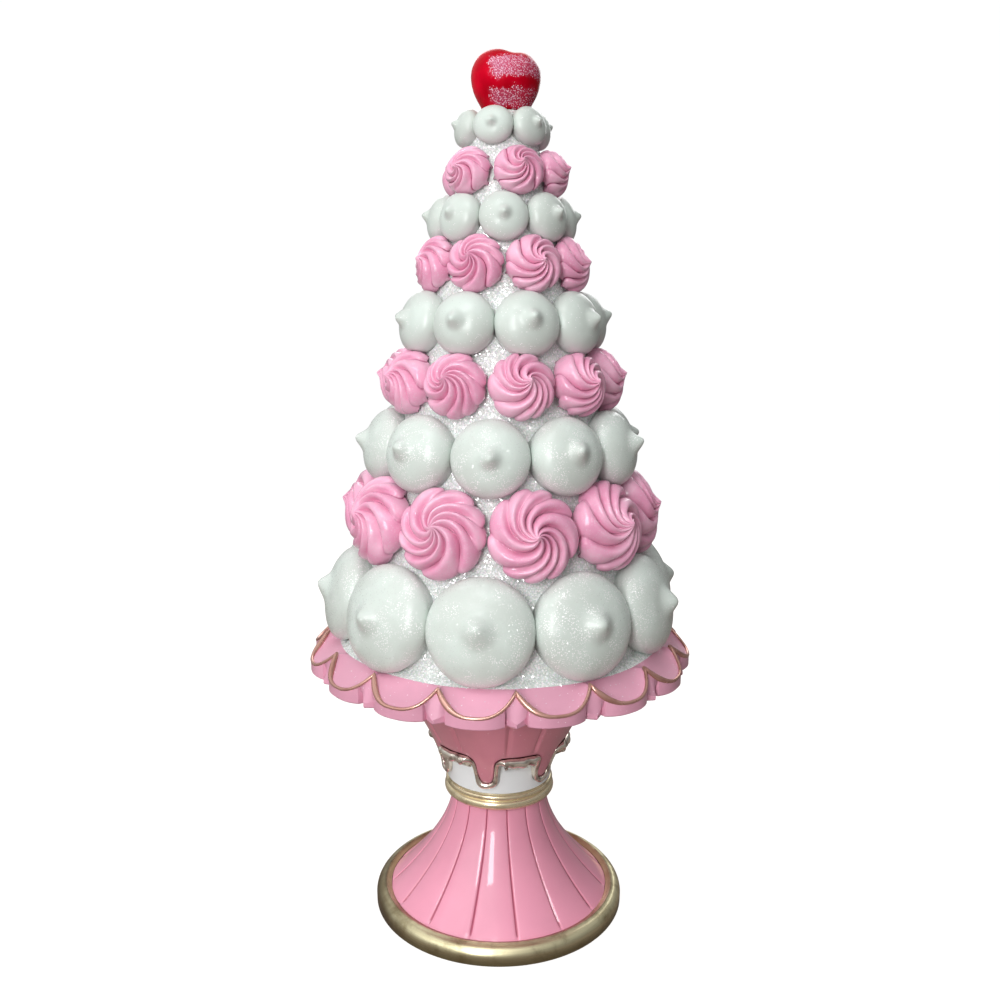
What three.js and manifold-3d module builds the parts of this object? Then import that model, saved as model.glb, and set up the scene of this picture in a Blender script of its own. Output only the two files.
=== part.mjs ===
// Cone cake covered in piped dollops and rosettes, built together with its pedestal stand.
// Millimetres, +Z up. Origin at the middle of the foot's underside; the front faces -Y.
// An azimuth is measured from the front towards +X.

import * as THREE from 'three';
import { mergeVertices } from 'three/addons/utils/BufferGeometryUtils.js';
import Module from 'manifold-3d';

const wasm = await Module();
wasm.setup();

// Azimuths of equal steps round the cone.
function evenly(count, first) {
  return Array.from({ length: count }, (_, i) => first + (360 * i) / count);
}

// ---------------------------------------------------------------- driving dimensions

const clearance = 0.3; // gap kept between pieces that lie against each other

// cake cone
const coneFootZ = 138.9;
const coneFootRadius = 75.2; // the icing spreads a little where it meets the plate
const coneWallZ = 141;
const coneTopZ = 374;
const coneRadiusAtPlate = 72.8;
const plateLevel = 137;
const coneTaper = 0.2547; // loss of radius for each millimetre of height
const coneSides = 30;
const coneEdge = 1.2; // rounding of the top edge

// stand, from the floor up
const footOuterRadius = 61.1;
const footInnerRadius = 53.85;
const footLipZ = 8.6;
const footCrestZ = 9.8;

const flareFootRadius = 53.5;
const flareNeckRadius = 23;
const flareTopZ = 57.3;
const flareCurve = 1.6; // exponent of the trumpet curve
const pleatCount = 15;
const pleatTurn = -86.3;
const pleatDepth = 0.9;
const pleatHalfWidth = 1.6; // degrees from a groove's bottom to its edge

const beadRadius = 26.8;
const beadBottomZ = 57.6;
const beadTopZ = 66.2;

const bandRadius = 25.5;
const bandBottomZ = 66.5;
const bandTopZ = 88;

const dripCount = 6;
const dripTurn = -72.5;
const dripTipZ = 72.4;
const archTopZ = 87.4;
const dripWall = 25.85; // inner radius of the icing that hangs over the band
const cupTopZ = 125.2;
const cupTopRadius = 56;
const fluteDepth = 0.7;
const lipWidth = 1.3; // of the gilt lip along the icing's edge
const lipDrop = 4; // how much further the lip slopes down to the band under an arch
// half of a drip and of the arch beside it: [share of the half spacing, share of the height]
const dripOutline = [[0, 0], [0.19, 0.1], [0.26, 0.68], [0.38, 0.91], [0.62, 1], [1, 1]];
const fluteStep = 4; // the point of that outline where a fold runs up the cup

// plate of petals
const petalCount = 16;
const petalTurn = -85.4; // azimuth of one cusp between two petals
const cuspRadius = 82.4;
const cuspZ = 139;
const petalTipRadius = 89.9;
const petalTipZ = 130.8;
const petalFullness = 2.6; // exponent of the petal's outline
const plateTopZ = 138.6;
const plateFlatRadius = 76;
const plateBottomZ = 125.5;
const skirtBottomZ = 126.4;
const leafTipRadius = 88;
const leafTipZ = 128.1;
const leafNotchRadius = 84.2;
const leafNotchZ = 129.7;
const leafHalfWidth = 0.73; // share of the half petal at which the lower leaf begins
const edgingWidth = 0.95;

// cherry
const cherryZ = 374.3;
const cherryHeight = 24.9;
const cherryRadius = 15.3;
const cherryOffset = 1.4;
const cherryCleft = 1; // depth of the dip between its two lobes
const cherryTilt = 0.1; // rise of the left lobe for each millimetre from the middle

// piping: rows of [share of the radius, share of the reach], from the rim on the wall to the last row
// below the tip
const dollopRows = [[0.95, 0], [1, 0.2], [0.86, 0.52], [0.5, 0.75], [0.15, 0.81]];
const middleDollopRows = [[0.95, 0], [1, 0.2], [0.76, 0.64], [0.17, 0.81]];
const smallDollopRows = [[0.98, 0], [0.86, 0.52], [0.2, 0.8]];
const rosetteRows = [[0.95, 0], [1, 0.22], [0.62, 0.78], [0.16, 0.92]];
const smallRosetteRows = [[1, 0], [0.84, 0.6], [0.2, 0.92]];
const rosetteTwist = 100; // degrees that a ridge turns from the tip out to the rim
const grooveCut = 0.13; // share of the radius by which a groove lies inside the ridges
const grooveSink = 0.07; // share of the reach by which a groove lies below the ridges
const unevenSize = 0.03;
const noseLean = 0.06;

// piped toppings, ring by ring from the plate up
// z is the height of a piece's middle on the cone's wall, reach is how far it stands out from the wall
// sides is the number of corners round a piece: a rosette has one on each ridge and in each groove
const dollopA = {
  name: 'dollop_a', z: 160, radius: 23.2, reach: 19.6, rows: dollopRows, sides: 12,
  azimuths: evenly(10, -78.5),
};
const rosetteA = {
  name: 'rosette_a', z: 198.1, radius: 20.2, reach: 18.2, rows: rosetteRows, sides: 22,
  azimuths: evenly(10, -59.3),
};
const dollopB = {
  name: 'dollop_b', z: 229.1, radius: 17.3, reach: 18.5, rows: middleDollopRows, sides: 12,
  azimuths: evenly(10, -76.6),
};
const rosetteB = {
  name: 'rosette_b', z: 258.1, radius: 14.8, reach: 15.8, rows: rosetteRows, sides: 18,
  azimuths: evenly(10, -61.2),
};
const dollopC = {
  name: 'dollop_ring_c', z: 283.8, radius: 14.2, reach: 16.1, rows: middleDollopRows, sides: 10,
  azimuths: evenly(9, -64),
};
const rosetteC = {
  name: 'rosette_ring_c', z: 308.7, radius: 12.8, reach: 12.7, rows: smallRosetteRows, sides: 16,
  azimuths: evenly(8, -65.3),
};
const dollopD = {
  name: 'dollop_ring_d', z: 328.5, radius: 10.9, reach: 11.5, rows: smallDollopRows, sides: 10,
  azimuths: evenly(8, -43.3),
};
const rosetteD = {
  name: 'rosette_ring_d', z: 347.6, radius: 11.8, reach: 12, rows: smallRosetteRows, sides: 16,
  azimuths: [-42, 19, 79, 136, 190, 236],
};
const dollopE = {
  name: 'dollop_ring_e', z: 366.7, radius: 9.3, reach: 9.2, rows: smallDollopRows, sides: 8,
  azimuths: evenly(6, -74.1),
};

const separateRings = [dollopA, rosetteA, dollopB, rosetteB];
const joinedRings = [dollopC, rosetteC, dollopD, rosetteD, dollopE];

// ---------------------------------------------------------------- small helpers

const radians = THREE.MathUtils.degToRad;
const lerp = THREE.MathUtils.lerp;
const smooth = (t) => THREE.MathUtils.smoothstep(t, 0, 1);
const fullTurn = 2 * Math.PI;
const coneSlope = Math.atan(coneTaper);

// Repeatable random numbers between -1 and 1.
let seed = 1402;
function uneven() {
  const modulus = 2147483647;
  seed = (seed * 16807) % modulus;
  return (2 * seed) / modulus - 1;
}

// Radius of the cone's wall, with the spread of icing at its foot.
function coneRadius(z) {
  const straight = (height) => coneRadiusAtPlate - coneTaper * (height - plateLevel);
  if (z > coneWallZ) return straight(z);
  const share = (coneWallZ - z) / (coneWallZ - coneFootZ);
  return lerp(straight(coneWallZ), coneFootRadius, share);
}

// Joins vertices at the same place and drops triangles that have shrunk to a line.
function welded(geometry) {
  geometry.deleteAttribute('normal');
  geometry.deleteAttribute('uv');
  const merged = mergeVertices(geometry, 1e-4);
  const corners = Array.from(merged.index.array);
  const kept = [];
  for (let i = 0; i < corners.length; i += 3) {
    const [a, b, c] = corners.slice(i, i + 3);
    if (a !== b && b !== c && c !== a) kept.push(a, b, c);
  }
  merged.setIndex(kept);
  return merged;
}

// A body of revolution about Z. profile holds [radius, z] pairs, from the lowest axis point to the
// highest or closed on itself. reshape(step, row, radius, z, angle) may move each of its points.
function turned(profile, sides, reshape) {
  const points = profile.map(([radius, z]) => new THREE.Vector2(radius, z));
  const geometry = new THREE.LatheGeometry(points, sides);
  geometry.rotateX(Math.PI / 2);
  if (reshape) {
    const position = geometry.attributes.position;
    for (let i = 0; i < position.count; i += 1) {
      const step = Math.floor(i / profile.length) % sides;
      const row = i % profile.length;
      const angle = (step / sides) * fullTurn;
      const moved = reshape(step, row, profile[row][0], profile[row][1], angle);
      const x = moved.radius * Math.sin(moved.angle);
      const y = -moved.radius * Math.cos(moved.angle);
      position.setXYZ(i, x, y, moved.z);
    }
  }
  return welded(geometry);
}

function toSolid(geometry) {
  const vertProperties = new Float32Array(geometry.attributes.position.array);
  const triVerts = new Uint32Array(geometry.index.array);
  return new wasm.Manifold(new wasm.Mesh({ numProp: 3, vertProperties, triVerts }));
}

function toGeometry(solid) {
  const mesh = solid.getMesh();
  const geometry = new THREE.BufferGeometry();
  geometry.setAttribute('position', new THREE.BufferAttribute(mesh.vertProperties, 3));
  geometry.setIndex(Array.from(mesh.triVerts));
  return geometry;
}

function finish(color, roughness, metalness = 0) {
  return new THREE.MeshStandardMaterial({ color, roughness, metalness });
}

const whiteIcing = finish(0xe3e9e2, 0.3);
const pinkIcing = finish(0xe79ab8, 0.42);
const glitterIcing = finish(0xe9eeea, 0.55);
const pinkPlate = finish(0xeda5c4, 0.38);
const pinkGloss = finish(0xe388a8, 0.12);
const pinkCup = finish(0xc4708a, 0.3);
const whiteGloss = finish(0xdfe5ea, 0.15);
const antiqueGold = finish(0xa8945a, 0.35, 0.9);
const paleGold = finish(0xcdbb9c, 0.2, 0.9);
const roseGold = finish(0xb98a72, 0.3, 0.9);
const cherryRed = finish(0xc40a28, 0.15);

function piece(name, geometry, material) {
  const mesh = new THREE.Mesh(geometry, material);
  mesh.name = name;
  return mesh;
}

// ---------------------------------------------------------------- stand

// Gilt ring round the foot, with a rounded outer face and a lip against the pleats.
function makeFootRing() {
  const sides = 36;
  const profile = [
    [footInnerRadius, 0],
    [footOuterRadius - 0.7, 0],
    [footOuterRadius, 3.4],
    [footOuterRadius - 0.8, 7.6],
    [footOuterRadius - 3, footCrestZ],
    [footInnerRadius, footLipZ],
    [footInnerRadius, 0],
  ];
  return turned(profile, sides);
}

function flareRadius(z) {
  const share = (flareTopZ - z) / (flareTopZ - footLipZ);
  return flareNeckRadius + (flareFootRadius - flareNeckRadius) * share ** flareCurve;
}

// Trumpet foot. Each pleat has its groove's bottom, its two edges and its middle as steps.
function makePleatedFoot() {
  const pleatSteps = [0, pleatHalfWidth, 180 / pleatCount, 360 / pleatCount - pleatHalfWidth];
  const rowHeights = [footLipZ, 19, 32, 44, flareTopZ];
  const profile = [[0, 0], [flareFootRadius, 0]];
  rowHeights.forEach((z) => profile.push([flareRadius(z), z]));
  profile.push([0, flareTopZ]);
  const reshape = (step, row, radius, z) => {
    const pleat = Math.floor(step / pleatSteps.length);
    const place = step % pleatSteps.length;
    const grooved = place === 0 && z > footLipZ;
    const azimuth = pleatTurn + (pleat * 360) / pleatCount + pleatSteps[place];
    return { radius: Math.max(radius - (grooved ? pleatDepth : 0), 0), z, angle: radians(azimuth) };
  };
  return turned(profile, pleatCount * pleatSteps.length, reshape);
}

// Gilt double bead between the trumpet foot and the white band.
function makeCollarBead() {
  const sides = 28;
  const middleZ = (beadBottomZ + beadTopZ) / 2;
  const profile = [
    [0, beadBottomZ],
    [beadRadius - 1.8, beadBottomZ],
    [beadRadius, beadBottomZ + 2.2],
    [beadRadius - 1, middleZ],
    [beadRadius, beadTopZ - 2.2],
    [beadRadius - 1.4, beadTopZ],
    [0, beadTopZ],
  ];
  return turned(profile, sides);
}

function makeCollarBand() {
  const sides = 28;
  return turned([[0, bandBottomZ], [bandRadius, bandBottomZ], [bandRadius, bandTopZ], [0, bandTopZ]], sides);
}

// Outer radius of the cup, which opens out towards the plate.
function cupRadius(z) {
  const bottomRadius = 27.3;
  const bottomZ = dripTipZ - 2;
  const opening = 1.35;
  return bottomRadius + (cupTopRadius - bottomRadius) * ((z - bottomZ) / (cupTopZ - bottomZ)) ** opening;
}

const dripSteps = 2 * (dripOutline.length - 1);

// A point of the icing's lower edge: drips hang between wide arches.
function edgePoint(step) {
  const drip = Math.floor(step / dripSteps);
  const place = THREE.MathUtils.euclideanModulo(step, dripSteps);
  const rising = place < dripOutline.length;
  const outlineStep = rising ? place : dripSteps - place;
  const [share, height] = dripOutline[outlineStep];
  const turn = rising ? share / 2 : 1 - share / 2;
  return {
    angle: radians(dripTurn + (360 / dripCount) * (drip + turn)),
    z: lerp(dripTipZ, archTopZ, height),
    height,
    fold: outlineStep === fluteStep,
  };
}

// The icing's edge moved square to itself, down and out of the drips, on the unrolled wall.
function movedEdge(step, distance) {
  const around = [step - 1, step, step + 1].map(edgePoint);
  const [before, here, after] = around.map(({ angle, z }) => new THREE.Vector2(angle * dripWall, z));
  const slopeIn = here.clone().sub(before).normalize();
  const slopeOut = after.clone().sub(here).normalize();
  const mean = slopeIn.clone().add(slopeOut).normalize();
  const stretch = distance / mean.dot(slopeIn);
  return { angle: around[1].angle + (mean.y * stretch) / dripWall, z: here.y - mean.x * stretch };
}

// Pink cup: solid above the band, with drips that hang over it and a fold on each side of an arch.
function makeDripCup() {
  const ceilingZ = bandTopZ + clearance;
  const edgeRow = 2;
  const profile = [
    [0, ceilingZ],
    [dripWall, ceilingZ],
    [dripWall, archTopZ],
    [cupRadius(archTopZ), archTopZ],
    [cupRadius(93), 93],
    [cupRadius(108), 108],
    [cupTopRadius, cupTopZ],
    [0, cupTopZ],
  ];
  const reshape = (step, row, radius, z) => {
    const edge = edgePoint(step);
    const outside = row > edgeRow && radius > 0;
    const fold = edge.fold && outside ? fluteDepth : 0;
    const onEdge = row === edgeRow || row === edgeRow + 1;
    if (!onEdge) return { radius: radius - fold, z, angle: edge.angle };
    return { radius: row === edgeRow ? dripWall : cupRadius(edge.z) - fold, z: edge.z, angle: edge.angle };
  };
  return turned(profile, dripCount * dripSteps, reshape);
}

// Gilt lip that follows the icing's lower edge and slopes in to the band under each arch.
function makeDripEdging() {
  const profile = [[0, 0], [1, 0], [1, 1], [0, 1], [0, 0]];
  const proud = 0.5;
  const reshape = (step, row, across, up) => {
    const { z, height } = edgePoint(step);
    const near = movedEdge(step, 1.3 * clearance);
    const far = movedEdge(step, 1.3 * clearance + lipWidth);
    const place = up === 1 ? near : far;
    const slope = across === 0 && up === 0 ? lipDrop * smooth((height - 0.6) / 0.4) : 0;
    const radius = across === 0 ? dripWall : cupRadius(z) + proud;
    return { radius, z: place.z - slope, angle: place.angle };
  };
  return turned(profile, dripCount * dripSteps, reshape);
}

// ---------------------------------------------------------------- plate

// Steps across one petal, from cusp (-1) to cusp (1); the lower leaf starts at the doubled ones.
const notch = leafHalfWidth + 0.01;
const petalSide = leafHalfWidth - 0.01;
const petalSteps = [-1, -notch, -petalSide, -0.4, 0, 0.4, petalSide, notch];

function petalAngle(petal, across) {
  const half = 180 / petalCount;
  return radians(petalTurn + half * (2 * petal + 1 + across));
}

// Upper edge of a petal at a step across it: rises and draws in towards the cusps.
function petalEdge(across) {
  const fullness = 1 - Math.abs(across) ** petalFullness;
  return {
    radius: lerp(cuspRadius, petalTipRadius, fullness),
    z: lerp(cuspZ, petalTipZ, fullness),
  };
}

// Lower edge: the petal's skirt, or the tip and notches of the leaf that shows between two petals.
function lowerEdge(across) {
  const size = Math.abs(across);
  if (size === 1) return { radius: leafTipRadius, z: leafTipZ };
  if (size === notch) return { radius: leafNotchRadius, z: leafNotchZ };
  return { radius: petalEdge(across).radius, z: leafTipZ };
}

function makePetalPlate() {
  const profile = [
    [0, plateBottomZ],
    [petalTipRadius, skirtBottomZ],
    [petalTipRadius, leafTipZ],
    [petalTipRadius, petalTipZ],
    [plateFlatRadius, plateTopZ],
    [0, plateTopZ],
  ];
  const reshape = (step, row, radius, z) => {
    const petal = Math.floor(step / petalSteps.length);
    const across = petalSteps[step % petalSteps.length];
    const angle = petalAngle(petal, across);
    if (row === 1) return { radius: lowerEdge(across).radius, z, angle };
    if (row === 2) return { ...lowerEdge(across), angle };
    if (row === 3) return { ...petalEdge(across), angle };
    return { radius, z, angle };
  };
  return turned(profile, petalCount * petalSteps.length, reshape);
}

// Fine gilt line that lies on the petals' upper edge.
function makePetalEdging() {
  const w = edgingWidth;
  const profile = [[-0.4 * w, 0.85 * w], [0.85 * w, -0.4 * w], [w, w], [-0.4 * w, 0.85 * w]];
  const steps = petalSteps.filter((across) => Math.abs(across) !== notch);
  const reshape = (step, row) => {
    const petal = Math.floor(step / steps.length);
    const across = steps[step % steps.length];
    const edge = petalEdge(across);
    const [out, up] = profile[row];
    return { radius: edge.radius + out, z: edge.z + up, angle: petalAngle(petal, across) };
  };
  return turned(profile, petalCount * steps.length, reshape);
}

// ---------------------------------------------------------------- cake

function makeCakeCone() {
  const profile = [
    [0, coneFootZ],
    [coneFootRadius, coneFootZ],
    [coneRadius(coneWallZ), coneWallZ],
    [coneRadius(coneTopZ - coneEdge), coneTopZ - coneEdge],
    [coneRadius(coneTopZ) - coneEdge, coneTopZ],
    [0, coneTopZ],
  ];
  return turned(profile, coneSides);
}

// Cherry: narrow at the bottom, with two lobes at the top, the left one a little higher.
function makeCherry() {
  const sides = 16;
  const outline = [
    [0, 0], [0.66, 0.01], [0.73, 0.11], [0.93, 0.34],
    [1, 0.6], [0.88, 0.82], [0.52, 1], [0, 0.97],
  ];
  const profile = outline.map(([r, h]) => [r * cherryRadius, cherryZ + h * cherryHeight]);
  const cleftX = 3;
  const cleftWidth = 4;
  const reshape = (step, row, radius, z, angle) => {
    const x = radius * Math.sin(angle);
    const nearTop = smooth(((z - cherryZ) / cherryHeight - 0.6) / 0.35);
    const cleft = cherryCleft * Math.exp(-(((x - cleftX) / cleftWidth) ** 2));
    return { radius, z: z - nearTop * (cleft + cherryTilt * x), angle };
  };
  const geometry = turned(profile, sides, reshape);
  geometry.translate(cherryOffset, 0, 0);
  return geometry;
}

// ---------------------------------------------------------------- toppings

function isRosette(ring) {
  return ring.name.startsWith('rosette');
}

// Where a ring's pieces sit: a point on the cone's wall and the three directions of a piece.
// Fused pieces turn a corner or a ridge to each neighbour, so that they meet.
function ringPlaces(ring) {
  const fused = joinedRings.includes(ring);
  const places = [];
  const radius = coneRadius(ring.z);
  ring.azimuths.forEach((azimuth) => {
    const angle = radians(azimuth);
    const size = uneven();
    places.push({
      ring,
      radius: ring.radius * (1 + unevenSize * (fused ? Math.abs(size) : size)),
      reach: ring.reach * (1 + unevenSize * uneven()),
      spin: fused ? Math.PI / 2 : Math.PI * uneven(),
      lean: [noseLean * uneven(), noseLean * uneven()],
      centre: new THREE.Vector3(radius * Math.sin(angle), -radius * Math.cos(angle), ring.z),
      right: new THREE.Vector3(Math.cos(angle), Math.sin(angle), 0),
      up: new THREE.Vector3(
        -Math.sin(angle) * Math.sin(coneSlope),
        Math.cos(angle) * Math.sin(coneSlope),
        Math.cos(coneSlope),
      ),
      out: new THREE.Vector3(
        Math.sin(angle) * Math.cos(coneSlope),
        -Math.cos(angle) * Math.cos(coneSlope),
        Math.sin(coneSlope),
      ),
      walls: [],
    });
  });
  return places;
}

// Sets a flat wall between two pieces that come near each other, nearer to the smaller one.
function setWallBetween(one, other) {
  const gap = new THREE.Vector3().subVectors(other.centre, one.centre);
  const distance = gap.length();
  const reachOut = 1.25;
  if (distance > reachOut * (one.radius + other.radius)) return;
  const normal = gap.normalize();
  const share = (distance ** 2 + one.radius ** 2 - other.radius ** 2) / (2 * distance);
  one.walls.push({ normal, limit: share - clearance / 2 });
  other.walls.push({ normal: normal.clone().negate(), limit: distance - share - clearance / 2 });
}

// Draws a point in towards the piece's own axis until it is on the piece's side of every wall.
function keepInside(place, point) {
  const offset = new THREE.Vector3().subVectors(point, place.centre);
  const axial = place.out.clone().multiplyScalar(offset.dot(place.out));
  const lateral = offset.clone().sub(axial);
  let share = 1;
  place.walls.forEach(({ normal, limit }) => {
    const across = lateral.dot(normal);
    const room = limit - axial.dot(normal);
    if (across > 0 && across * share > room) share = room / across;
  });
  point.copy(place.centre).add(axial).addScaledVector(lateral, share);
}

// Lays a point on the cone's wall, with the clearance, by moving it along the piece's axis.
function layOnWall(place, point) {
  const passes = 6;
  for (let i = 0; i < passes; i += 1) {
    const above = Math.hypot(point.x, point.y) - coneRadius(point.z);
    point.addScaledVector(place.out, clearance - above * Math.cos(coneSlope));
    keepInside(place, point);
  }
}

// One topping. Its back is a shallow cone from the rim in to a middle that clears the round wall.
function makeTopping(place) {
  const { rows, sides } = place.ring;
  const rosette = isRosette(place.ring);
  const bulge = place.radius ** 2 / (4 * coneRadius(place.ring.z));
  const profile = [[0, clearance + bulge]];
  rows.forEach(([r, h]) => profile.push([r * place.radius, h * place.reach]));
  profile.push([0, place.reach]);
  const reshape = (step, row, radius, z, angle) => {
    const groove = rosette && step % 2 === 1 && radius > 0;
    const twist = rosette ? radians(rosetteTwist) * (1 - radius / place.radius) : 0;
    return {
      radius: groove ? radius * (1 - grooveCut) : radius,
      z: groove ? z - grooveSink * place.reach : z,
      angle: angle + place.spin + twist,
    };
  };
  const geometry = turned(profile, sides, reshape);

  const position = geometry.attributes.position;
  const local = new THREE.Vector3();
  for (let i = 0; i < position.count; i += 1) {
    local.fromBufferAttribute(position, i);
    const sway = place.radius * Math.max(local.z / place.reach, 0) ** 3;
    const point = place.centre.clone();
    point.addScaledVector(place.right, local.x + sway * place.lean[0]);
    point.addScaledVector(place.up, local.y + sway * place.lean[1]);
    point.addScaledVector(place.out, local.z);
    keepInside(place, point);
    const onRim = local.z <= 0;
    if (onRim) layOnWall(place, point);
    position.setXYZ(i, point.x, point.y, point.z);
  }
  return geometry;
}

function makeToppings() {
  const separate = separateRings.map(ringPlaces);
  const joined = joinedRings.map(ringPlaces);
  const singles = separate.flat();
  const all = [...singles, ...joined.flat()];
  all.forEach((one, i) => {
    all.slice(i + 1).forEach((other) => {
      const fused = one.ring === other.ring && joinedRings.includes(one.ring);
      if (!fused) setWallBetween(one, other);
    });
  });
  const down = new THREE.Vector3(0, 0, -1);
  separate[0].forEach((place) => {
    place.walls.push({ normal: down, limit: place.centre.z - (plateTopZ + clearance) });
  });

  const toppings = new THREE.Group();
  const materialOf = (ring) => (isRosette(ring) ? pinkIcing : whiteIcing);
  separate.forEach((places) => {
    places.forEach((place, i) => {
      const name = `${place.ring.name}_${String(i + 1).padStart(2, '0')}`;
      toppings.add(piece(name, makeTopping(place), materialOf(place.ring)));
    });
  });
  joined.forEach((places) => {
    const ring = places[0].ring;
    const whole = places.map((place) => toSolid(makeTopping(place))).reduce((sum, next) => sum.add(next));
    toppings.add(piece(ring.name, toGeometry(whole), materialOf(ring)));
  });
  return toppings;
}

// ---------------------------------------------------------------- assembly

const stand = new THREE.Group();
stand.add(piece('foot_ring', makeFootRing(), antiqueGold));
stand.add(piece('pleated_foot', makePleatedFoot(), pinkGloss));
stand.add(piece('collar_bead', makeCollarBead(), antiqueGold));
stand.add(piece('collar_band', makeCollarBand(), whiteGloss));
stand.add(piece('drip_cup', makeDripCup(), pinkCup));
stand.add(piece('drip_edging', makeDripEdging(), paleGold));
stand.add(piece('petal_plate', makePetalPlate(), pinkPlate));
stand.add(piece('petal_edging', makePetalEdging(), roseGold));

const cake = new THREE.Group();
cake.add(piece('cake_cone', makeCakeCone(), glitterIcing));
cake.add(makeToppings());
cake.add(piece('cherry', makeCherry(), cherryRed));

const cakeOnStand = new THREE.Group();
cakeOnStand.add(stand);
cakeOnStand.add(cake);

export default cakeOnStand;
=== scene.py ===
import math

import bmesh
import bpy
import numpy as np
from mathutils import Matrix, Vector


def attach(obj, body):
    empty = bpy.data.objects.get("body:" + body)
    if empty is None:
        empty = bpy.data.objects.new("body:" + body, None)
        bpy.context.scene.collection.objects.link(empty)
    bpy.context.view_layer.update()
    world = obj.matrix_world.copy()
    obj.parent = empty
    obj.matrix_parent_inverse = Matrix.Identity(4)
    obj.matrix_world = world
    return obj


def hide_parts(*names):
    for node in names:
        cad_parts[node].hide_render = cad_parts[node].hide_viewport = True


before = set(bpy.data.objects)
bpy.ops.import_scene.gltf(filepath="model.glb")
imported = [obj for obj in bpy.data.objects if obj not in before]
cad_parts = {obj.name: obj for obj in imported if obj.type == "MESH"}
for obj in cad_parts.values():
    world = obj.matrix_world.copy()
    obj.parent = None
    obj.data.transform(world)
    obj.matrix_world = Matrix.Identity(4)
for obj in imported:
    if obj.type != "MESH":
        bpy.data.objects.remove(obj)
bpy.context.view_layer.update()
print("frame loaded")

mm = 0.001
fullTurn = 2 * math.pi
mergeDistance = 2e-6  # metres
stage = bpy.context.scene.collection


# small helpers

def lerp(a, b, t):
    return a + (b - a) * t


def smooth(t):
    t = np.clip(t, 0, 1)
    return t * t * (3 - 2 * t)


def bell(value, middle, width):
    return np.exp(-((value - middle) / width) ** 2)


def newObject(name, mesh):
    piece = bpy.data.objects.new(name, mesh)
    stage.objects.link(piece)
    return piece


def editMesh(mesh, change):
    shell = bmesh.new()
    shell.from_mesh(mesh)
    change(shell)
    shell.to_mesh(mesh)
    shell.free()


def turnOutwards(shell):
    bmesh.ops.recalc_face_normals(shell, faces=shell.faces)


def closeSkin(shell):
    # joins seams and poles, drops what has shrunk to nothing, and turns the faces outwards
    bmesh.ops.remove_doubles(shell, verts=shell.verts, dist=mergeDistance)
    bmesh.ops.dissolve_degenerate(shell, dist=mergeDistance, edges=shell.edges)
    turnOutwards(shell)
    if shell.calc_volume(signed=True) < 0:
        bmesh.ops.reverse_faces(shell, faces=shell.faces)


def shadeSmooth(mesh, sharpAngle):
    mesh.shade_smooth()
    mesh.set_sharp_from_angle(angle=math.radians(sharpAngle))


def wrapGrid(name, points, material, loop=False, sharpAngle=35, tones=None):
    # points is rows by columns by three, in millimetres; columns go all the way round
    rows, columns = points.shape[:2]
    index = np.arange(rows * columns).reshape(rows, columns)
    below = index if loop else index[:-1]
    above = np.roll(index, -1, axis=0) if loop else index[1:]
    faces = np.stack([below, np.roll(below, -1, 1), np.roll(above, -1, 1), above], axis=-1)
    mesh = bpy.data.meshes.new(name)
    mesh.from_pydata((points.reshape(-1, 3) * mm).tolist(), [], faces.reshape(-1, 4).tolist())
    if tones is not None:
        mesh.attributes.new("tone", "FLOAT", "POINT").data.foreach_set("value", tones.ravel())
    editMesh(mesh, closeSkin)
    shadeSmooth(mesh, sharpAngle)
    mesh.materials.append(material)
    return newObject(name, mesh)


def ringPoints(radius, z, angle):
    # azimuth is measured from the front, -Y, towards +X
    radius, z, angle = np.broadcast_arrays(radius, z, angle)
    return np.stack([radius * np.sin(angle), -radius * np.cos(angle), z], axis=-1).astype(float)


def roundSteps(count):
    return np.arange(count) / count * fullTurn


def turned(name, profile, columns, material, loop=False, sharpAngle=35):
    profile = np.array(profile, float)
    points = ringPoints(profile[:, :1], profile[:, 1:], roundSteps(columns)[None, :])
    return wrapGrid(name, points, material, loop, sharpAngle)


def arc(centre, radius, start, end, steps):
    # points on an arc in the radius-height plane, angles in degrees from straight out
    angles = np.radians(np.linspace(start, end, steps))
    return [(centre[0] + radius * math.cos(a), centre[1] + radius * math.sin(a)) for a in angles]


def smoothPath(points, steps):
    # a soft curve through given points, flat at both ends
    points = np.array(points, float)
    before = points[0] + (points[0] - points[1]) * (1, -1)
    after = points[-1] + (points[-1] - points[-2]) * (1, -1)
    around = np.vstack([before, points, after])
    path = []
    for i in range(1, len(around) - 2):
        for t in np.arange(steps) / steps:
            path.append(0.5 * (
                2 * around[i] + (around[i + 1] - around[i - 1]) * t
                + (2 * around[i - 1] - 5 * around[i] + 4 * around[i + 1] - around[i + 2]) * t * t
                + (3 * around[i] - around[i - 1] - 3 * around[i + 1] + around[i + 2]) * t ** 3))
    path.append(points[-1])
    return np.array(path)


# node helpers

def operator(operation, swapped=False):
    def apply(self, other):
        return calc(operation, other, self) if swapped else calc(operation, self, other)
    return apply


class Flow:
    # what leaves a socket; arithmetic on it adds a node, so that trees read as formulas
    def __init__(self, socket):
        self.socket = socket
        self.tree = socket.id_data

    def out(self, key):
        # another output of the same node
        return Flow(self.socket.node.outputs[key])

    __add__ = __radd__ = operator("ADD")
    __sub__ = operator("SUBTRACT")
    __rsub__ = operator("SUBTRACT", swapped=True)
    __mul__ = __rmul__ = operator("MULTIPLY")
    __truediv__ = operator("DIVIDE")
    __rtruediv__ = operator("DIVIDE", swapped=True)
    __pow__ = operator("POWER")
    __lt__ = operator("LESS_THAN")
    __gt__ = operator("GREATER_THAN")


def feed(socket, value):
    if isinstance(value, Flow):
        value.tree.links.new(value.socket, socket)
    else:
        socket.default_value = value


def treeOf(values):
    return next(value.tree for value in values if isinstance(value, Flow))


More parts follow.
